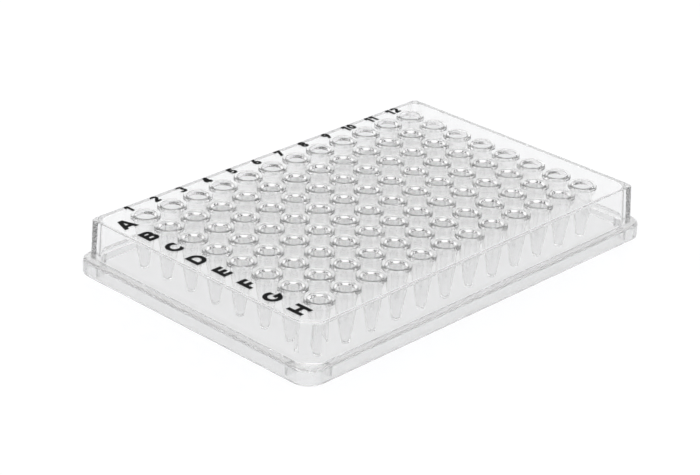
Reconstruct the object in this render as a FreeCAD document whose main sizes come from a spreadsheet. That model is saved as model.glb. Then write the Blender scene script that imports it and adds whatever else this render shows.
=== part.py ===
import FreeCAD, Part
import math
import os

import Sketcher

# A full-skirted 96-well plate, moulded in one piece, in millimetres.
# The origin is the centre of the footprint, on the surface that the plate stands on. +X runs from
# column 1 to column 12, +Y from row H to row A, and +Z up. Each size below fills a cell of the
# spreadsheet, and every sketch and feature reads its sizes from those cells.
SIZES = {
    # Skirt: the rim that stands on the bench, with a ledge on top.
    "plate_length": 127.76,
    "plate_width": 85.48,
    "skirt_height": 4.05,
    "skirt_wall": 1.1,
    "skirt_corner_radius": 5.0,
    "end_ledge": 2.45,
    "side_ledge": 2.05,
    "ledge_thickness": 1.0,
    "ledge_edge_radius": 0.9,
    # Box: the drafted walls that rise from the ledge to the deck.
    "deck_height": 14.5,
    "deck_thickness": 0.6,
    "deck_edge_radius": 0.4,
    "box_wall": 0.95,
    "box_draft": 3.1,
    "box_corner_radius": 2.3,
    "cavity_corner_radius": 4.6,
    "cavity_edge_radius": 0.4,
    "box_foot_radius": 0.3,
    "key_chamfer": 3.95,
    "key_edge_radius": 1.0,
    "cavity_key_chamfer": 5.05,
    # Gussets: tapered ribs between the skirt and the box, two at each corner.
    "gusset_from_corner": 8.1,
    "gusset_head": 1.3,
    "gusset_foot": 0.6,
    "gusset_lift": 0.7,
    # Wells: drafted tubes on a square grid, each with a raised rim on the deck.
    "column_count": 12,
    "row_count": 8,
    "pitch": 9.0,
    "rim_diameter": 7.85,
    "rim_draft": 6.0,
    "rim_height": 0.85,
    "rim_edge_radius": 0.25,
    "tube_lift": 0.35,
    "tip_diameter": 2.25,
    "tip_radius": 0.3,
    "tube_draft": 8.75,
    "tube_foot_wall": 0.33,
    "tube_head_wall": 0.63,
    "tube_floor": 0.5,
    "floor_radius": 0.5,
}

# Heights and radii that follow from the sizes, as expressions.
LEDGE_UNDERSIDE = "(sizes.skirt_height - sizes.ledge_thickness)"
DECK_UNDERSIDE = "(sizes.deck_height - sizes.deck_thickness)"
DECK_MIDDLE = "(sizes.deck_height - sizes.deck_thickness / 2)"
RIM_TOP = "(sizes.deck_height + sizes.rim_height)"
FLOOR = "(sizes.tube_lift + sizes.tube_floor)"
SLOPE = "tan(sizes.tube_draft * 1 deg)"

# Two heights closer than this are the same height.
TOLERANCE = 1e-4


def fill_sheet(doc):
    sheet = doc.addObject("Spreadsheet::Sheet", "sizes")
    for row, (alias, value) in enumerate(SIZES.items(), start=1):
        sheet.set(f"A{row}", alias)
        sheet.set(f"B{row}", str(value))
        sheet.setAlias(f"B{row}", alias)
    doc.recompute()


def origin_feature(body, role):
    return next(item for item in body.Origin.OriginFeatures if item.Role == role)


def add_sketch(body, name, plane, **offsets):
    """A sketch on one of the body's origin planes, with its attachment offset from expressions."""
    sketch = body.newObject("Sketcher::SketchObject", name)
    sketch.AttachmentSupport = [(origin_feature(body, plane), "")]
    sketch.MapMode = "FlatFace"
    for axis, expression in offsets.items():
        sketch.setExpression(f"AttachmentOffset.Base.{axis}", expression)
    return sketch


def add_feature(body, kind, name, profile, **expressions):
    """A sketch-based feature whose sizes are expressions."""
    feature = body.newObject(f"PartDesign::{kind}", name)
    feature.Profile = profile
    for size, expression in expressions.items():
        feature.setExpression(size, expression)
    return feature


def constrain(sketch, name, expression, *arguments):
    """A dimension of a sketch, bound to an expression."""
    index = sketch.addConstraint(Sketcher.Constraint(*arguments))
    sketch.renameConstraint(index, name)
    sketch.setExpression(f"Constraints.{name}", expression)


def value_of(sketch, expression):
    return float(sketch.evalExpression(expression))


def place_point(sketch, point, label, x, y):
    """Fixes a point of a sketch at (x, y), both of them expressions."""
    for letter, kind, axis, expression in (("x", "DistanceX", -2, x), ("y", "DistanceY", -1, y)):
        if expression == "0":
            sketch.addConstraint(Sketcher.Constraint("PointOnObject", *point, axis))
        else:
            size = value_of(sketch, expression)
            constrain(sketch, f"{label}_{letter}", expression, kind, -1, 1, *point, size)


def draw_outline(sketch, corners):
    """A closed outline, anticlockwise, through corners of (label, x, y, radius).

    A corner with a radius is an arc tangent to its two sides, and a construction point keeps
    the place where the sides would meet.
    """
    places = [FreeCAD.Vector(value_of(sketch, x), value_of(sketch, y)) for _, x, y, _ in corners]
    count = len(corners)
    entries = []
    exits = []
    for i, (_, _, _, radius) in enumerate(corners):
        back = (places[i - 1] - places[i]).normalize()
        ahead = (places[(i + 1) % count] - places[i]).normalize()
        reach = 0.0
        if radius:
            reach = value_of(sketch, radius) / math.tan(back.getAngle(ahead) / 2)
        entries.append(places[i] + back * reach)
        exits.append(places[i] + ahead * reach)
    for i in range(count):
        sketch.addGeometry(Part.LineSegment(exits[i], entries[(i + 1) % count]), False)
    for i, (label, x, y, radius) in enumerate(corners):
        before = (i - 1) % count
        if not radius:
            sketch.addConstraint(Sketcher.Constraint("Coincident", before, 2, i, 1))
            place_point(sketch, (i, 1), label, x, y)
            continue
        size = value_of(sketch, radius)
        turns_left = ((places[i] - places[before]).cross(places[(i + 1) % count] - places[i])).z > 0
        start, end = (entries[i], exits[i]) if turns_left else (exits[i], entries[i])
        middle = (start + end) / 2
        half_chord = (end - start).Length / 2
        towards = (middle - places[i]).normalize()
        centre = middle + towards * math.sqrt(size**2 - half_chord**2)
        first = math.atan2(start.y - centre.y, start.x - centre.x)
        last = math.atan2(end.y - centre.y, end.x - centre.x)
        circle = Part.Circle(centre, FreeCAD.Vector(0, 0, 1), size)
        arc = sketch.addGeometry(Part.ArcOfCircle(circle, first, last), False)
        entry_end, exit_end = (1, 2) if turns_left else (2, 1)
        sketch.addConstraint(Sketcher.Constraint("Tangent", before, 2, arc, entry_end))
        sketch.addConstraint(Sketcher.Constraint("Tangent", arc, exit_end, i, 1))
        constrain(sketch, f"{label}_radius", radius, "Radius", arc, size)
        corner = sketch.addGeometry(Part.Point(places[i]), True)
        sketch.addConstraint(Sketcher.Constraint("PointOnObject", corner, 1, before))
        sketch.addConstraint(Sketcher.Constraint("PointOnObject", corner, 1, i))
        place_point(sketch, (corner, 1), label, x, y)


def draw_box(sketch, inset_x, inset_y, radius, chamfer=None, edge_radius=None):
    """The plate's footprint moved in by an inset on each axis, with one corner radius.

    A chamfer replaces the radius at the front left corner, where well H1 is, and its two edges
    can be rounded.
    """
    x = f"(sizes.plate_length / 2 - ({inset_x}))"
    y = f"(sizes.plate_width / 2 - ({inset_y}))"
    front_left = [("front_left", f"-{x}", f"-{y}", radius)]
    if chamfer:
        front_left = [
            ("key_left", f"-{x}", f"-({y} - {chamfer})", edge_radius),
            ("key_front", f"-({x} - {chamfer})", f"-{y}", edge_radius),
        ]
    others = [
        ("front_right", x, f"-{y}", radius),
        ("back_right", x, y, radius),
        ("back_left", f"-{x}", y, radius),
    ]
    draw_outline(sketch, front_left + others)


def round_rim(body, name, base, height, radius, half_length="sizes.plate_length / 2"):
    """Rounds every edge of a feature that lies at a height, no further out than a half length."""
    level = value_of(base, height)
    reach = value_of(base, half_length) + TOLERANCE
    edges = [
        f"Edge{number}"
        for number, edge in enumerate(base.Shape.Edges, start=1)
        if all(math.isclose(vertex.Z, level, abs_tol=TOLERANCE) for vertex in edge.Vertexes)
        and edge.BoundBox.XMax <= reach and edge.BoundBox.XMin >= -reach
    ]
    fillet = body.newObject("PartDesign::Fillet", name)
    fillet.Base = (base, edges)
    fillet.setExpression("Radius", radius)
    body.Document.recompute()
    return fillet


def add_skirt(body):
    outline = add_sketch(body, "skirt_outline", "XY_Plane")
    draw_box(outline, "0", "0", "sizes.skirt_corner_radius")
    skirt = add_feature(body, "Pad", "skirt", outline, Length="sizes.skirt_height")
    body.Document.recompute()
    round_rim(body, "ledge_edge", skirt, "sizes.skirt_height", "sizes.ledge_edge_radius")


def add_box(body):
    """The drafted box on the ledge, still solid."""
    outline = add_sketch(body, "box_outline", "XY_Plane", z="sizes.skirt_height")
    ledges = ("sizes.end_ledge", "sizes.side_ledge")
    corner = "sizes.box_corner_radius"
    draw_box(outline, *ledges, corner, "sizes.key_chamfer", "sizes.key_edge_radius")
    rise = "sizes.deck_height - sizes.skirt_height"
    box = add_feature(body, "Pad", "box", outline, Length=rise, TaperAngle="-sizes.box_draft")
    body.Document.recompute()
    deck_edge = round_rim(body, "deck_edge", box, "sizes.deck_height", "sizes.deck_edge_radius")
    half_length = "sizes.plate_length / 2 - sizes.end_ledge"
    foot = ("sizes.skirt_height", "sizes.box_foot_radius", half_length)
    round_rim(body, "box_foot", deck_edge, *foot)


def add_cavities(body):
    """Hollows the plate from below: a wide cavity in the skirt and a drafted one in the box."""
    outline = add_sketch(body, "skirt_cavity_outline", "XY_Plane")
    walls = ("sizes.skirt_wall", "sizes.skirt_wall")
    draw_box(outline, *walls, "sizes.skirt_corner_radius - sizes.skirt_wall")
    cavity = add_feature(body, "Pocket", "skirt_cavity", outline, Length=LEDGE_UNDERSIDE)
    cavity.Reversed = True

    outline = add_sketch(body, "box_cavity_outline", "XY_Plane", z=LEDGE_UNDERSIDE)
    walls = ("sizes.end_ledge + sizes.box_wall", "sizes.side_ledge + sizes.box_wall")
    draw_box(outline, *walls, "sizes.cavity_corner_radius", "sizes.cavity_key_chamfer")
    rise = f"{DECK_UNDERSIDE} - {LEDGE_UNDERSIDE}"
    cavity = add_feature(
        body, "Pocket", "box_cavity", outline, Length=rise, TaperAngle="-sizes.box_draft"
    )
    cavity.Reversed = True
    body.Document.recompute()
    round_rim(body, "cavity_edge", cavity, DECK_UNDERSIDE, "sizes.cavity_edge_radius")


def add_gusset(body, name, plane, reach, across, ledge):
    """A tapered rib from the skirt wall in to the box wall, near the end of that wall."""
    start = f"-({across} / 2 - sizes.skirt_wall / 2)"
    profile = add_sketch(body, f"{name}_profile", plane, z=start)
    middle = f"({reach} / 2 - sizes.gusset_from_corner)"
    top = "(sizes.skirt_height - sizes.ledge_thickness / 2)"
    draw_outline(
        profile,
        [
            ("foot_inner", f"{middle} - sizes.gusset_foot / 2", "sizes.gusset_lift", None),
            ("foot_outer", f"{middle} + sizes.gusset_foot / 2", "sizes.gusset_lift", None),
            ("head_outer", f"{middle} + sizes.gusset_head / 2", top, None),
            ("head_inner", f"{middle} - sizes.gusset_head / 2", top, None),
        ],
    )
    length = f"{ledge} + sizes.box_wall - sizes.skirt_wall / 2"
    return add_feature(body, "Pad", name, profile, Length=length)


def add_gussets(body):
    length = "sizes.plate_length"
    width = "sizes.plate_width"
    gussets = [
        add_gusset(body, "back_gusset", "XZ_Plane", length, width, "sizes.side_ledge"),
        add_gusset(body, "left_gusset", "YZ_Plane", width, length, "sizes.end_ledge"),
    ]
    body.Document.recompute()
    pattern = body.newObject("PartDesign::MultiTransform", "gussets")
    pattern.Originals = gussets
    mirrors = []
    for name, plane in (("gussets_across", "YZ_Plane"), ("gussets_along", "XZ_Plane")):
        mirror = body.newObject("PartDesign::Mirrored", name)
        mirror.MirrorPlane = (origin_feature(body, plane), [""])
        mirrors.append(mirror)
    pattern.Transformations = mirrors
    body.Tip = pattern
    body.Document.recompute()


def tube_radius(height):
    """The outer radius of a tube at a height, as an expression."""
    return f"(sizes.tip_diameter / 2 + {SLOPE} * ({height} - sizes.tube_lift))"


def add_wells(body):
    """Drills the deck for well A1, adds its tube and rim, and repeats both over the grid."""
    first_x = "-(sizes.column_count - 1) / 2 * sizes.pitch"
    first_y = "(sizes.row_count - 1) / 2 * sizes.pitch"
    circle = add_sketch(
        body, "deck_hole_outline", "XY_Plane", x=first_x, y=first_y, z="sizes.deck_height"
    )
    mouth_radius = f"({tube_radius(RIM_TOP)} - sizes.tube_head_wall)"
    radius = f"({mouth_radius} + {tube_radius(DECK_UNDERSIDE)}) / 2"
    size = value_of(circle, radius)
    centre = FreeCAD.Vector(0, 0, 0)
    circle.addGeometry(Part.Circle(centre, FreeCAD.Vector(0, 0, 1), size), False)
    circle.addConstraint(Sketcher.Constraint("Coincident", 0, 3, -1, 1))
    constrain(circle, "radius", radius, "Radius", 0, size)
    hole = add_feature(body, "Pocket", "deck_hole", circle, Length="sizes.deck_thickness")

    section = add_sketch(body, "well_section", "XZ_Plane", x=first_x, z=f"-({first_y})")
    lean = "tan(sizes.rim_draft * 1 deg)"
    rim_foot = f"sizes.rim_diameter / 2 + {lean} * sizes.deck_thickness / 2"
    rim_head = f"sizes.rim_diameter / 2 - {lean} * sizes.rim_height"
    draw_outline(
        section,
        [
            ("floor_centre", "0", FLOOR, None),
            ("tip_centre", "0", "sizes.tube_lift", None),
            ("tip", "sizes.tip_diameter / 2", "sizes.tube_lift", "sizes.tip_radius"),
            ("tube_head", tube_radius(DECK_MIDDLE), DECK_MIDDLE, None),
            ("rim_foot", rim_foot, DECK_MIDDLE, None),
            ("rim_head", rim_head, RIM_TOP, "sizes.rim_edge_radius"),
            ("mouth", mouth_radius, RIM_TOP, "sizes.rim_edge_radius"),
            ("floor", f"{tube_radius(FLOOR)} - sizes.tube_foot_wall", FLOOR, "sizes.floor_radius"),
        ],
    )
    well = add_feature(body, "Revolution", "well", section)
    well.ReferenceAxis = (section, ["V_Axis"])
    body.Document.recompute()

    wells = body.newObject("PartDesign::MultiTransform", "wells")
    wells.Originals = [hole, well]
    steps = []
    for name, axis, count in (
        ("well_columns", "H_Axis", "sizes.column_count"),
        ("well_rows", "N_Axis", "sizes.row_count"),
    ):
        step = body.newObject("PartDesign::LinearPattern", name)
        step.Direction = (section, [axis])
        step.setExpression("Length", f"({count} - 1) * sizes.pitch")
        step.setExpression("Occurrences", count)
        steps.append(step)
    wells.Transformations = steps
    body.Tip = wells
    body.Document.recompute()


def build_well_plate(doc):
    body = doc.addObject("PartDesign::Body", "well_plate")
    body.Label = "well_plate"
    add_skirt(body)
    add_box(body)
    add_cavities(body)
    add_gussets(body)
    add_wells(body)
    body.Placement = FreeCAD.Placement()
    return body


def check(doc, parts):
    """Stops before anything is written if a feature failed or a part is not one valid solid."""
    doc.recompute()
    for item in doc.Objects:
        if "Invalid" in item.State or "Error" in item.State:
            raise RuntimeError(f"{item.Label} failed: {item.State}")
    for part in parts:
        if part.Shape.isNull() or not part.Shape.isValid() or len(part.Shape.Solids) != 1:
            raise RuntimeError(f"{part.Label} is not one valid solid")


def export(parts):
    os.makedirs("parts", exist_ok=True)
    for part in parts:
        part.Shape.exportStep(f"parts/{part.Label}.step")


document = FreeCAD.newDocument("well_plate_96")
fill_sheet(document)
plate_parts = [build_well_plate(document)]
check(document, plate_parts)
export(plate_parts)
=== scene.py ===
import math

import bmesh
import bpy
import numpy as np
from mathutils import Matrix, Vector


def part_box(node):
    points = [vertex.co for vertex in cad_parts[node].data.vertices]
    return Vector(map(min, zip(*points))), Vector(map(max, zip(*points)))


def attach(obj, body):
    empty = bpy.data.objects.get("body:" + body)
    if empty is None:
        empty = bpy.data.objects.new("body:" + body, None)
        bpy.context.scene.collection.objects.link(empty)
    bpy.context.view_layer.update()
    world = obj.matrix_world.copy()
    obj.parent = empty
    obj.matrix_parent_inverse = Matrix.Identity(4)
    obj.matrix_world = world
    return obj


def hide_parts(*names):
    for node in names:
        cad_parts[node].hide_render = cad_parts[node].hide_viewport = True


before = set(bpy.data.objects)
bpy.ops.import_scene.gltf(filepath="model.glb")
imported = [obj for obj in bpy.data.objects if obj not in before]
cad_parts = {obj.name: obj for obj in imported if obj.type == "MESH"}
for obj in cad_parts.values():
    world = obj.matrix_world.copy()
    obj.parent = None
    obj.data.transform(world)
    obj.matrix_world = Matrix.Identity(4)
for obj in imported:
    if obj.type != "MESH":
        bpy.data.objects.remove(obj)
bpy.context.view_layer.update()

# ---------------------------------------------------------------------------------------------
# The moulding: skirt, ledge, drafted box and deck.
# The real plate is one injection moulding in clear plastic, so its walls, its deck and its tubes
# are a single skin here too. The walls lean in by the draft that lets it leave the tool.
mm = 0.001
lowest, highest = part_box("well_plate")
half_length, half_width = (highest[0] - lowest[0]) / 2 / mm, (highest[1] - lowest[1]) / 2 / mm
skirt_height, skirt_wall, skirt_radius = 4.05, 1.1, 5.0
ledge_thickness, ledge_rounding = 1.0, 0.9
end_ledge, side_ledge = 2.45, 2.05
deck_height, deck_thickness = 14.5, 0.6
box_wall, box_draft, box_radius, box_foot = 0.95, math.radians(3.1), 2.3, 0.3
edge_rounding = 0.4
# The key is the chamfered corner beside well H1. The radius of its upright edges is the one at
# their foot, which is smaller than the solid's, and the draft takes it to nothing below the deck.
key_chamfer, key_edge = 3.95, 0.4
cavity_radius, cavity_key_chamfer = 4.6, 5.05
pitch, columns, rows = 9.0, 12, 8
steps_per_pitch, steps_per_corner, steps_per_edge = 7, 6, 4


def rounded(points, radii, steps):
    """A line through points with each inner corner rounded: the corner is swapped for an arc
    that is tangent to both of its sides, at a distance of radius / tan(half the corner)."""
    line = [np.array(points[0], float)]
    for before, corner, after, radius in zip(points, points[1:], points[2:], radii):
        before, corner, after = (np.array(p, float) for p in (before, corner, after))
        if radius == 0:
            line.append(corner)
            continue
        back = (before - corner) / np.linalg.norm(before - corner)
        ahead = (after - corner) / np.linalg.norm(after - corner)
        half = math.acos(np.clip(back @ ahead, -1, 1)) / 2
        middle = (back + ahead) / np.linalg.norm(back + ahead)
        centre = corner + middle * radius / math.sin(half)
        start = corner + back * radius / math.tan(half) - centre
        end = corner + ahead * radius / math.tan(half) - centre
        turn = math.atan2(start[0] * end[1] - start[1] * end[0], start @ end)
        angle = np.linspace(0, turn, steps + 1)[:, None]
        across = np.array([-start[1], start[0]])
        line.extend(centre + np.cos(angle) * start + np.sin(angle) * across)
    line.append(np.array(points[-1], float))
    return np.array(line)


def outline(half_x, half_y, radius, inward, height, key=0.0, key_radius=0.0):
    """Closed rings round the plate, one for each inward step and height. A side is a straight
    row of points that line up with the wells' cells as far as its corners let them, and a corner
    is two arcs of 45 degrees. A round corner is the case where the flat between those two arcs
    has no length: a chamfer of radius * (2 - sqrt 2). Moving a ring inward by s takes s off each
    half size and radius, and s * (2 - sqrt 2) off a chamfer."""
    inward = np.asarray(inward, float)[:, None]
    flat = 2 - math.sqrt(2)
    x, y = half_x - inward, half_y - inward
    across = np.linspace(-1, 1, columns * steps_per_pitch + 1)[None] * pitch * columns / 2
    along = np.linspace(-1, 1, rows * steps_per_pitch + 1)[None] * pitch * rows / 2
    turn = np.radians(np.linspace(-90, -45, steps_per_corner + 1))[None]
    plain, keyed_corner = ([np.broadcast_to(v, inward.shape) for v in (
        (key if keyed else flat * radius) - flat * inward,
        np.maximum((key_radius if keyed else radius) - inward, 0))]
        for keyed in (False, key > 0))
    corners = [plain, plain, plain, keyed_corner]
    parts = []
    sides = ((1, 0, x, y, across), (0, 1, y, x, along), (-1, 0, x, y, across), (0, -1, y, x, along))
    for number, (way_x, way_y, reach, off, spots) in enumerate(sides):
        (leg_before, arc_before), (leg, arc) = corners[number - 1], corners[number]
        spots = np.clip(spots, leg_before + arc_before * math.tan(math.pi / 8) - reach,
                        reach - leg - arc * math.tan(math.pi / 8))
        first = np.stack([-leg - arc * math.tan(math.pi / 8) + arc * np.cos(turn),
                          arc + arc * np.sin(turn)])
        second = np.stack([-arc + arc * np.cos(turn + math.pi / 4),
                           leg + arc * math.tan(math.pi / 8) + arc * np.sin(turn + math.pi / 4)])
        ahead = np.concatenate([spots, reach + first[0], reach + second[0]], axis=1)
        aside = np.concatenate([np.zeros_like(spots), first[1], second[1]], axis=1) - off
        parts.append(np.stack([way_x * ahead - way_y * aside, way_y * ahead + way_x * aside], -1))
    rings = np.concatenate(parts, axis=1)
    level = np.broadcast_to(np.asarray(height, float)[:, None, None], rings.shape[:2] + (1,))
    return np.concatenate([rings, level], axis=2)


def skin(rings, outward):
    """Faces between neighbouring rings: every point is joined to the next one on its ring and
    to the two points at the same places on the next ring."""
    count, around = rings.shape[-3:-1]
    number = np.arange(count * around).reshape(count, around)
    a, b = number[:-1], np.roll(number, -1, axis=1)[:-1]
    c, d = np.roll(number, -1, axis=1)[1:], number[1:]
    order = (a, d, c, b) if outward else (a, b, c, d)
    return np.stack(order, -1).reshape(-1, 4)


lean = math.tan(box_draft)
rise = deck_height - skirt_height
box_half = (half_length - end_ledge, half_width - side_ledge)
cavity_half = (box_half[0] - box_wall, box_half[1] - box_wall)
deck_underside = deck_height - deck_thickness
ledge_underside = skirt_height - ledge_thickness
cavity_rise = deck_underside - ledge_underside
grid_half = (pitch * columns / 2, pitch * rows / 2)

# The profiles of the walls: how far inward and how high. The first and last point of each only
# give the line its direction there, and are then dropped.
lead = 3.0
box_line = rounded([(lead, deck_height), (rise * lean, deck_height), (0, skirt_height),
                    (-lead, skirt_height)], [edge_rounding, box_foot], steps_per_edge)[1:-1]
skirt_line = rounded([(lead, skirt_height), (0, skirt_height), (0, 0), (skirt_wall, 0),
                      (skirt_wall, ledge_underside), (lead, ledge_underside)],
                     [ledge_rounding, 0, 0, 0], steps_per_edge + 1)[1:-1]
cavity_line = rounded([(-lead, ledge_underside), (0, ledge_underside),
                       (cavity_rise * lean, deck_underside), (lead, deck_underside)],
                      [0, edge_rounding], steps_per_edge)[1:-1]
shell = np.concatenate([
    outline(*grid_half, 0, [0], [deck_height]),
    outline(*box_half, box_radius, *box_line.T, key_chamfer, key_edge),
    outline(half_length, half_width, skirt_radius, *skirt_line.T),
    outline(*cavity_half, cavity_radius, *cavity_line.T, cavity_key_chamfer),
    outline(*grid_half, 0, [0], [deck_underside]),
])

# ---------------------------------------------------------------------------------------------
# The wells: 96 drafted tubes below the deck, each with a raised rim.
# The tool's core pins shape the inside and its cavity the outside. A tube's wall is thinner at
# its foot than at its mouth, and its rim, tip and floor have small radii.
rim_radius, rim_height, rim_draft, rim_rounding = 7.85 / 2, 0.85, math.radians(6), 0.25
tube_lift, tip_radius, tip_rounding, tube_draft = 0.35, 2.25 / 2, 0.3, math.radians(8.75)
tube_foot_wall, tube_head_wall, tube_floor, floor_rounding = 0.33, 0.63, 0.5, 0.5
steps_round = 4 * steps_per_pitch

rim_top = deck_height + rim_height
floor_height = tube_lift + tube_floor


def tube_at(height):
    """A tube's outer radius at a height: the tip's radius + tan(draft) * the height above it."""
    return tip_radius + math.tan(tube_draft) * (height - tube_lift)


mouth_radius = tube_at(rim_top) - tube_head_wall
inner_line = rounded([(rim_radius, deck_height),
                      (rim_radius - math.tan(rim_draft) * rim_height, rim_top),
                      (mouth_radius, rim_top),
                      (tube_at(floor_height) - tube_foot_wall, floor_height),
                      (0, floor_height)], [rim_rounding, rim_rounding, floor_rounding],
                     steps_per_edge)
outer_line = rounded([(tube_at(deck_underside), deck_underside), (tip_radius, tube_lift),
                      (0, tube_lift)], [tip_rounding], steps_per_edge)


def well_rings(line, level):
    """Rings of one well: first the square edge of its cell in the deck, then a circle for each
    point of the line, turned about the well's axis."""
    side = np.linspace(-0.5, 0.5, steps_per_pitch + 1)[:-1] * pitch
    edge = np.full_like(side, pitch / 2)
    square = np.concatenate([np.stack([side, -edge], 1), np.stack([edge, side], 1),
                             np.stack([-side, edge], 1), np.stack([-edge, -side], 1)])
    angle = np.radians(np.linspace(0, 360, steps_round + 1)[:-1] - 135)
    circles = line[:, :1, None] * np.stack([np.cos(angle), np.sin(angle)], 1)[None]
    rings = np.concatenate([square[None], circles])
    heights = np.concatenate([[level], line[:, 1]])
    return np.concatenate([rings, np.broadcast_to(heights[:, None, None],
                                                  rings.shape[:2] + (1,))], 2)


inner, outer = well_rings(inner_line, deck_height), well_rings(outer_line, deck_underside)
grid = np.stack(np.meshgrid((np.arange(columns) - (columns - 1) / 2) * pitch,
                            (np.arange(rows) - (rows - 1) / 2) * pitch), -1).reshape(-1, 2)
places = np.concatenate([grid, np.zeros((len(grid), 1))], 1)[:, None, None]
points, faces, first = [], [], 0
for rings, outward in ((shell[None], True), (places + inner, False), (places + outer, True)):
    one = skin(rings[0], outward)
    per = rings[0].size // 3
    points.append(rings.reshape(-1, 3))
    faces.append((one[None] + first + per * np.arange(len(rings))[:, None, None]).reshape(-1, 4))
    first += rings.size // 3

# ---------------------------------------------------------------------------------------------
# The ribs: eight tapered ones, two near each corner, between the skirt's wall and the box's.
# They are part of the moulding and hang from the underside of the ledge. Here a gap of a hair's
# breadth keeps each rib's surface apart from its neighbours.
rib_from_corner, rib_head, rib_foot, rib_lift, hair = 8.1, 1.3, 0.6, 0.7, 0.02
slope = (rib_head - rib_foot) / (skirt_height - ledge_thickness / 2 - rib_lift)
rib_half = np.array([rib_foot, rib_foot + slope * (ledge_underside - rib_lift)]) / 2
for half, across, ledge, turns in ((half_length, half_width, side_ledge, (0, 2)),
                                   (half_width, half_length, end_ledge, (1, 3))):
    reach = np.array([-across + skirt_wall + hair, -across + ledge + box_wall])
    section = np.array([[-rib_half[0], rib_lift], [rib_half[0], rib_lift],
                        [rib_half[1], ledge_underside - hair],
                        [-rib_half[1], ledge_underside - hair]])
    rib = np.stack([np.repeat(section[None, :, 0], 2, 0), np.repeat(reach[:, None], 4, 1),
                    np.repeat(section[None, :, 1], 2, 0)], -1)
    for turn in turns:
        quarter = np.array([[math.cos(turn * math.pi / 2), math.sin(turn * math.pi / 2)],
                            [-math.sin(turn * math.pi / 2), math.cos(turn * math.pi / 2)]])
        for side in (-1, 1):
            one = rib + np.array([side * (half - rib_from_corner), 0, 0])
            one = np.concatenate([one[..., :2] @ quarter.round(), one[..., 2:]], -1)
            ends = np.array([[0, 1, 2, 3], [7, 6, 5, 4]])
            points.append(one.reshape(-1, 3))
            faces.append(np.concatenate([skin(rib, True), ends]) + first)
            first += 8

# ---------------------------------------------------------------------------------------------
# The plate: the shell, the wells and the ribs as one mesh.
# The real plate is ejected in one piece of clear plastic, with no seam between these parts. Each
# face takes its finish from the face of the mould that it was pressed against.
satin_tube, satin_rim, frosted_skirt = 0.6, 0.6, 1.0
weld, sharp_angle, large_face_weight = 0.0001, math.radians(35), 80
body = bpy.data.meshes.new("moulded_plate")
body.from_pydata(np.concatenate(points) * mm, [], np.concatenate(faces))

# How far each face is frosted, from 0, polished, to 1: the tubes' outsides and the rims are satin,
# the whole skirt with its ledge is frosted, and all else is polished.
corners = np.concatenate(points)[np.concatenate(faces)]
finish = np.zeros(len(corners))
tube_faces = slice(len(faces[0]) + len(faces[1]), sum(len(part) for part in faces[:3]))
finish[tube_faces] = satin_tube
finish[np.abs(corners[..., 2] - deck_underside).max(1) < hair] = 0.0
middle = np.abs(corners.mean(1))
from_axis = np.hypot(*(middle[:, :2] % pitch - pitch / 2).T)
finish[(middle[:, 2] > deck_height + hair) & (from_axis > mouth_radius)] = satin_rim
beyond_cavity = (middle[:, :2] - cavity_half).max(1) > -hair
finish[(middle[:, 2] < skirt_height + hair) & beyond_cavity] = frosted_skirt
frost = body.attributes.new("frost", "FLOAT", "FACE")
frost.data.foreach_set("value", finish.astype(np.float32))
plate = bpy.data.objects.new("moulded_plate", body)
bpy.context.scene.collection.objects.link(plate)

merged = bmesh.new()
merged.from_mesh(body)
bmesh.ops.remove_doubles(merged, verts=merged.verts, dist=weld * mm)
merged.to_mesh(body)
merged.free()
body.shade_smooth()
body.set_sharp_from_angle(angle=sharp_angle)
weights = plate.modifiers.new("normals", "WEIGHTED_NORMAL")
weights.keep_sharp = True
weights.weight = large_face_weight


def linear(code):
    """An sRGB hex colour as linear red, green, blue and alpha: ((c + 0.055) / 1.055) ^ 2.4."""
    c = np.array([int(code[i:i + 2], 16) for i in (1, 3, 5)]) / 255
    return (*np.where(c <= 0.04045, c / 12.92, ((c + 0.055) / 1.055) ** 2.4).tolist(), 1.0)


def add(tree, kind, settings=(), **links):
    """Adds a node, sets its properties, and fills its sockets with values or other outputs. A
    socket is given by its name, with underscores for spaces, or by an underscore and its number."""
    node = tree.nodes.new(kind)
    for name, value in dict(settings).items():
        setattr(node, name, value)
    for name, value in links.items():
        place = int(name[1:]) if name[1:].isdigit() else name.replace("_", " ")
        socket = node.inputs[place]
        if isinstance(value, bpy.types.NodeSocket):
            tree.links.new(value, socket)
        else:
            socket.default_value = value
    return node


# Clear moulded plastic, of a polymer that isn't known: its index of 1.5 is near that of clear
# polypropylene. It is glass-like, and a trace grey where light runs a long way inside it. Faint
# waves stand for the shrinking of the cooling plastic. The satin and frosted faces have a grain
# drawn at 0.4 mm, which is coarser than a real mould texture, so that it can show.
wave_length, wave_relief, grain_size, grain_relief = 7.0, 0.05, 0.4, 0.004
wave_strength, grain_strength = 0.2, 0.1
polished_roughness, frosted_roughness, wave_roughness = 0.015, 0.25, 0.03
frosted_clarity, index, grey_per_metre = 0.9, 1.5, 5.0
clear = bpy.data.materials.new("clear_moulded_plastic")
clear.use_nodes = True
tree = clear.node_tree
tree.nodes.clear()
place = add(tree, "ShaderNodeTexCoord").outputs["Object"]
frosting = add(tree, "ShaderNodeAttribute", {"attribute_name": "frost"}).outputs["Fac"]
waves = add(tree, "ShaderNodeTexNoise", Vector=place, Scale=1 / (wave_length * mm), Detail=1.0)
grain = add(tree, "ShaderNodeTexNoise", Vector=place, Scale=1 / (grain_size * mm), Detail=2.0)
even = add(tree, "ShaderNodeMapRange", Value=frosting,
           To_Min=polished_roughness, To_Max=frosted_roughness)
rough = add(tree, "ShaderNodeMath", {"operation": "MULTIPLY_ADD"}, _0=waves.outputs["Fac"],
            _1=wave_roughness, _2=even.outputs[0])
clarity = add(tree, "ShaderNodeMapRange", Value=frosting, To_Min=1.0, To_Max=frosted_clarity)
ripple = add(tree, "ShaderNodeBump", Strength=wave_strength, Distance=wave_relief * mm,
             Height=waves.outputs["Fac"])
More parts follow.
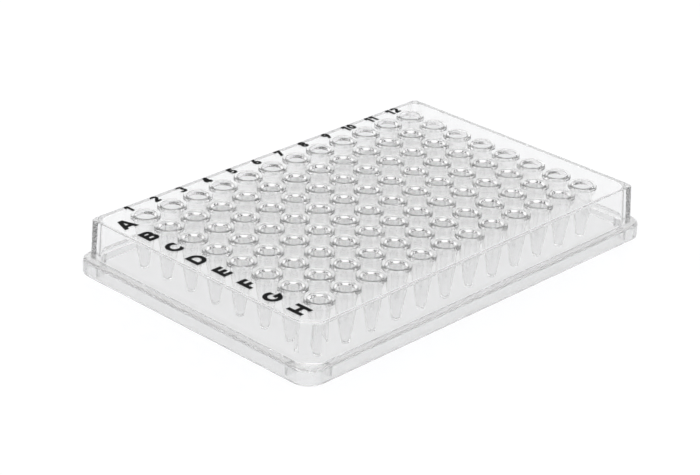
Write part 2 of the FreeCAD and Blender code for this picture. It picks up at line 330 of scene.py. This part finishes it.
grit = add(tree, "ShaderNodeMath", {"operation": "MULTIPLY"}, _0=grain.outputs["Fac"],
           _1=frosting)
relief = add(tree, "ShaderNodeBump", Strength=grain_strength, Distance=grain_relief * mm,
             Height=grit.outputs[0], Normal=ripple.outputs[0])
shader = add(tree, "ShaderNodeBsdfPrincipled", Base_Color=linear("#ffffff"), IOR=index,
             Roughness=rough.outputs[0], Transmission_Weight=clarity.outputs[0],
             Normal=relief.outputs[0])
absorb = add(tree, "ShaderNodeVolumeAbsorption", Color=linear("#000000"), Density=grey_per_metre)
add(tree, "ShaderNodeOutputMaterial", Surface=shader.outputs[0], Volume=absorb.outputs[0])
body.materials.append(clear)
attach(plate, "root")
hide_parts("well_plate")

# ---------------------------------------------------------------------------------------------
# The print: letters for the rows and numbers for the columns.
# Marks of this kind are pad printed on the deck in one thin film of black ink. The letters have
# one width of stroke and the numbers another. Here the film is its upper face, just off the deck.
letter_height, number_height, ink_thickness = 5.0, 3.35, 0.02
letter_stroke, number_stroke, gap_between_digits = 0.25, 0.28, 0.08
letter_x, number_y = -56.15, 38.0


def arc(x, y, reach, rise, start, end, step=15):
    """Points on the ellipse (x + reach * cos a, y + rise * sin a), for a from start to end in
    degrees, at most a step apart."""
    angle = np.radians(np.linspace(start, end, 2 + int(abs(end - start) / step)))
    return np.stack([x + reach * np.cos(angle), y + rise * np.sin(angle)], 1)


def bowl(left, right, bottom, top):
    """The round side of a letter: from the stem along the top, down a half circle, and back."""
    radius = (top - bottom) / 2
    return np.concatenate([[(left, top)], arc(right - radius, bottom + radius, radius, radius,
                                              90, -90), [(left, bottom)]])


def stroke(line, width):
    """Both edges of a stroke: each point of its line goes half a width to either side, along
    n = 2 (a + b) / |a + b| ^ 2, where a and b are the normals of the pieces that meet there.
    An open end is cut level or upright, whichever is nearer to square."""
    line = np.asarray(line, float)
    way = np.diff(line, axis=0)
    way /= np.linalg.norm(way, axis=1, keepdims=True)
    closed = np.allclose(line[0], line[-1])
    normal = way[:, ::-1] * (-1, 1)
    both = (np.concatenate([normal[-1:] if closed else normal[:1], normal])
            + np.concatenate([normal, normal[:1] if closed else normal[-1:]]))
    side = 2 * both / (both ** 2).sum(1, keepdims=True)
    if not closed:
        for end in (0, -1):
            cut = np.array([0.0, 1.0] if abs(way[end, 0]) > abs(way[end, 1]) else [1.0, 0.0])
            side[end] = cut / (cut @ normal[end])
    return np.stack([line + side * width / 2, line - side * width / 2], 1)


# Each mark is a list of strokes, and each stroke a line through points in a space one unit high.
# s is a stroke's width, t is half of it, and top is the middle line of a stroke along the top.
s, t, top = letter_stroke, letter_stroke / 2, 1 - letter_stroke / 2
letters = {
    "A": [[(0.12, 0), (0.44, 1)], [(0.82, 0), (0.50, 1)], [(0.26, 0.29), (0.68, 0.29)]],
    "B": [[(t, 0), (t, 1)], bowl(s, 0.63, 0.52, top), bowl(s, 0.67, t, 0.52)],
    "C": [arc(0.5, 0.5, 0.5 - t, 0.5 - t, 42, 318)],
    "D": [[(t, 0), (t, 1)], bowl(s, 0.76, t, top)],
    "E": [[(t, 0), (t, 1)], [(s, top), (0.64, top)], [(s, 0.5), (0.6, 0.5)], [(s, t), (0.64, t)]],
    "F": [[(t, 0), (t, 1)], [(s, top), (0.62, top)], [(s, 0.47), (0.58, 0.47)]],
    "G": [np.concatenate([arc(0.5, 0.5, 0.5 - t, 0.5 - t, 45, 335),
                          [(0.89, 0.45), (0.54, 0.45)]])],
    "H": [[(t, 0), (t, 1)], [(0.74, 0), (0.74, 1)], [(s, 0.5), (0.64, 0.5)]],
}
t, top = number_stroke / 2, 1 - number_stroke / 2
six = [arc(0.34, 0.33, 0.34 - t, 0.33 - t, 0, 360), [(0.12, 0.4), (0.4, 1)]]
digits = {
    "0": [arc(0.34, 0.5, 0.34 - t, 0.5 - t, 0, 360)],
    "1": [[(0.36, 0), (0.36, 1)], [(0.04, 0.72), (0.28, 0.92)]],
    "2": [np.concatenate([arc(0.33, 0.68, 0.21, 0.2, 165, -35), [(0.14, t)]]),
          [(0.02, t), (0.64, t)]],
    "3": [arc(0.3, 0.71, 0.2, 0.18, 150, -90), arc(0.3, 0.33, 0.23, 0.21, 90, -150)],
    "4": [[(0.4, 0.95), (0.1, 0.3)], [(0.02, 0.27), (0.68, 0.27)], [(0.46, 0), (0.46, 1)]],
    "5": [[(0.6, top), (0.2, top)], np.concatenate([[(0.17, 1), (0.15, 0.5)],
                                                   arc(0.3, 0.33, 0.23, 0.21, 110, -150)])],
    "6": six,
    "7": [[(0.02, top), (0.56, top), (0.2, 0)]],
    "8": [arc(0.34, 0.73, 0.2, 0.16, 0, 360), arc(0.34, 0.32, 0.34 - t, 0.32 - t, 0, 360)],
    "9": [np.array([0.68, 1.0]) - line for line in six],
}


def mark(text, glyphs, width, height, x, y):
    """All strokes of one mark, in millimetres on the deck, with the mark's middle at (x, y).
    Where strokes cross, the later one lies a hair higher, so that no two share a plane."""
    strokes, start = [], 0.0
    for letter in text:
        edges = [stroke(line, width) for line in glyphs[letter]]
        left = min(edge[..., 0].min() for edge in edges)
        strokes += [edge + [start - left, 0] for edge in edges]
        start = max(edge[..., 0].max() for edge in strokes) + gap_between_digits
    half = (start - gap_between_digits) / 2
    return [np.concatenate([(edge - [half, 0.5]) * height + [x, y],
                            np.full(edge.shape[:2] + (1,), deck_height + ink_thickness
                                    + number * ink_thickness / 10)], 2)
            for number, edge in enumerate(strokes)]


film = []
for row, letter in enumerate("ABCDEFGH"):
    film += mark(letter, letters, letter_stroke, letter_height, letter_x,
                 ((rows - 1) / 2 - row) * pitch)
for column in range(columns):
    film += mark(str(column + 1), digits, number_stroke, number_height,
                 (column - (columns - 1) / 2) * pitch, number_y)
points, faces, first = [], [], 0
for edge in film:
    count = len(edge)
    one = np.arange(2 * count).reshape(count, 2)
    points.append(edge.reshape(-1, 3))
    faces.append(np.stack([one[:-1, 0], one[:-1, 1], one[1:, 1], one[1:, 0]], 1) + first)
    first += 2 * count
print_film = bpy.data.meshes.new("row_letters_and_column_numbers")
print_film.from_pydata(np.concatenate(points) * mm, [], np.concatenate(faces))
marks = bpy.data.objects.new("row_letters_and_column_numbers", print_film)
bpy.context.scene.collection.objects.link(marks)

# Black pad-printing ink, cured: a matt film that gives almost no shine even at a flat angle. The
# fine grain that the soft pad leaves is drawn at 0.3 mm.
ink_grain, ink_relief, ink_relief_strength = 0.3, 0.005, 0.2
smoothest_ink, roughest_ink, ink_shine = 0.7, 0.9, 0.1
ink = bpy.data.materials.new("black_pad_printing_ink")
ink.use_nodes = True
tree = ink.node_tree
tree.nodes.clear()
place = add(tree, "ShaderNodeTexCoord").outputs["Object"]
grain = add(tree, "ShaderNodeTexNoise", Vector=place, Scale=1 / (ink_grain * mm), Detail=2.0)
rough = add(tree, "ShaderNodeMapRange", Value=grain.outputs["Fac"],
            To_Min=smoothest_ink, To_Max=roughest_ink)
relief = add(tree, "ShaderNodeBump", Strength=ink_relief_strength, Distance=ink_relief * mm,
             Height=grain.outputs["Fac"])
shader = add(tree, "ShaderNodeBsdfPrincipled", Base_Color=linear("#0e0e0f"),
             Roughness=rough.outputs[0], Specular_IOR_Level=ink_shine, Normal=relief.outputs[0])
add(tree, "ShaderNodeOutputMaterial", Surface=shader.outputs[0])
print_film.materials.append(ink)
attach(marks, "root")

# ---------------------------------------------------------------------------------------------
# The table: a white sheet, wide enough to have no edge in view.
# It isn't part of the plate. Rays that come from the camera, a reflection or through the plastic
# see mostly its own even white, and the rest is lit, so that it keeps the plate's shadow. Its
# own white has no shade under the plate, so through the plastic it is drawn a little dimmer:
# that is painted shade, standing for the plate's shadow on the table.
table_size, table_drop = 6.0, 0.05
lit_colour, own_white = linear("#f3f6fc"), linear("#ffffff")
white_to_camera, white_through, painted_shade_through = 0.88, 0.83, 0.85
gloss_share, gloss_roughness = 0.04, 0.1
reach, level = table_size / 2, -table_drop * mm
slab = bpy.data.meshes.new("table")
slab.from_pydata([(-reach, -reach, level), (reach, -reach, level), (reach, reach, level),
                  (-reach, reach, level)], [], [(0, 1, 2, 3)])
table = bpy.data.objects.new("table", slab)
bpy.context.scene.collection.objects.link(table)
sheet = bpy.data.materials.new("white_table")
sheet.use_nodes = True
tree = sheet.node_tree
tree.nodes.clear()
path = add(tree, "ShaderNodeLightPath")
lit = add(tree, "ShaderNodeBsdfDiffuse", Color=lit_colour)
# Painted shade: seen through the plastic, the table's own glow is dimmed for the plate's shadow.
shade = add(tree, "ShaderNodeMapRange", Value=path.outputs["Is Transmission Ray"],
            To_Min=1.0, To_Max=painted_shade_through)
glow = add(tree, "ShaderNodeEmission", Color=own_white, Strength=shade.outputs[0])
seen = add(tree, "ShaderNodeMath", {"operation": "MULTIPLY"},
           _0=path.outputs["Is Camera Ray"], _1=white_to_camera)
bent = add(tree, "ShaderNodeMath", {"operation": "MAXIMUM"},
           _0=path.outputs["Is Glossy Ray"], _1=path.outputs["Is Transmission Ray"])
bent = add(tree, "ShaderNodeMath", {"operation": "MULTIPLY"}, _0=bent.outputs[0], _1=white_through)
share = add(tree, "ShaderNodeMath", {"operation": "ADD"}, _0=seen.outputs[0], _1=bent.outputs[0])
both = add(tree, "ShaderNodeMixShader", _0=share.outputs[0], _1=lit.outputs[0], _2=glow.outputs[0])
gloss = add(tree, "ShaderNodeBsdfGlossy", Color=own_white, Roughness=gloss_roughness)
coated = add(tree, "ShaderNodeMixShader", _0=gloss_share, _1=both.outputs[0], _2=gloss.outputs[0])
add(tree, "ShaderNodeOutputMaterial", Surface=coated.outputs[0])
slab.materials.append(sheet)

# ---------------------------------------------------------------------------------------------
# The camera: it stands off corner H1 and looks down on the deck, rolled by two degrees.
# It is 0.6 m away behind a long lens, so that the perspective is mild.
azimuth, elevation, roll = math.radians(46.425), math.radians(25.7), math.radians(2.024)
target, distance, focal_length = Vector((-9.219, -2.576, 8.0)) * mm, 0.607808, 120.464
towards = Vector((-math.sin(azimuth) * math.cos(elevation),
                  -math.cos(azimuth) * math.cos(elevation), math.sin(elevation)))
right = (-towards).cross(Vector((0, 0, 1))).normalized()
up = right.cross(-towards)
right, up = (right * math.cos(roll) + up * math.sin(roll),
             up * math.cos(roll) - right * math.sin(roll))
lens = bpy.data.cameras.new("camera")
lens.lens = focal_length
lens.sensor_width = 36
lens.clip_start = 0.01
camera = bpy.data.objects.new("camera", lens)
scene = bpy.context.scene
scene.collection.objects.link(camera)
camera.matrix_world = Matrix((right, up, towards)).transposed().to_4x4()
camera.location = target + towards * distance
scene.camera = camera

# ---------------------------------------------------------------------------------------------
# The room: soft light from all round, a brighter wall behind the plate and a softbox above.
# The wall faces the camera, and the softbox hangs on the camera's side, 60 degrees up. Both fade
# out at their edges. The camera itself sees white.
room_light, wall_light, softbox_light = 0.9, 1.12, 1.8
softbox_elevation = math.radians(60)
towards_wall = (math.sin(azimuth), math.cos(azimuth), 0)
towards_softbox = (-math.sin(azimuth) * math.cos(softbox_elevation),
                   -math.cos(azimuth) * math.cos(softbox_elevation), math.sin(softbox_elevation))
# An edge is two cosines of the angle from the middle of the wall or softbox, and the wall's top
# is two sines of the height above the table.
wall_edge, wall_top, softbox_edge = (0.1, 0.6), (0.5, 0.65), (0.65, 0.8)
smooth = {"interpolation_type": "SMOOTHSTEP"}
world = bpy.data.worlds.new("studio")
scene.world = world
world.use_nodes = True
tree = world.node_tree
tree.nodes.clear()
way = add(tree, "ShaderNodeTexCoord").outputs["Generated"]
path = add(tree, "ShaderNodeLightPath")
apart = add(tree, "ShaderNodeSeparateXYZ", _0=way)
back = add(tree, "ShaderNodeVectorMath", {"operation": "DOT_PRODUCT"}, _0=way, _1=towards_wall)
behind = add(tree, "ShaderNodeMapRange", smooth, Value=back.outputs["Value"],
             From_Min=wall_edge[0], From_Max=wall_edge[1])
below = add(tree, "ShaderNodeMapRange", smooth, Value=apart.outputs["Z"],
            From_Min=wall_top[0], From_Max=wall_top[1], To_Min=1.0, To_Max=0.0)
share = add(tree, "ShaderNodeMath", {"operation": "MULTIPLY"},
            _0=behind.outputs[0], _1=below.outputs[0])
wall = add(tree, "ShaderNodeMix", {"data_type": "FLOAT"},
           _0=share.outputs[0], _2=room_light, _3=wall_light)
over = add(tree, "ShaderNodeVectorMath", {"operation": "DOT_PRODUCT"}, _0=way, _1=towards_softbox)
facing = add(tree, "ShaderNodeMapRange", smooth, Value=over.outputs["Value"],
             From_Min=softbox_edge[0], From_Max=softbox_edge[1])
softbox = add(tree, "ShaderNodeMix", {"data_type": "FLOAT"},
              _0=facing.outputs[0], _2=wall.outputs[0], _3=softbox_light)
light = add(tree, "ShaderNodeMix", {"data_type": "FLOAT"},
            _0=path.outputs["Is Camera Ray"], _2=softbox.outputs[0], _3=1.0)
sky = add(tree, "ShaderNodeBackground", Color=linear("#ffffff"), Strength=light.outputs[0])
add(tree, "ShaderNodeOutputWorld", Surface=sky.outputs[0])

# Light runs a long way inside the clear deck, so it is followed through many bounces.
bounces, see_through = 64, 16
scene.view_settings.view_transform = "Standard"
scene.cycles.max_bounces = bounces
scene.cycles.transmission_bounces = bounces
scene.cycles.glossy_bounces = bounces
scene.cycles.transparent_max_bounces = see_through
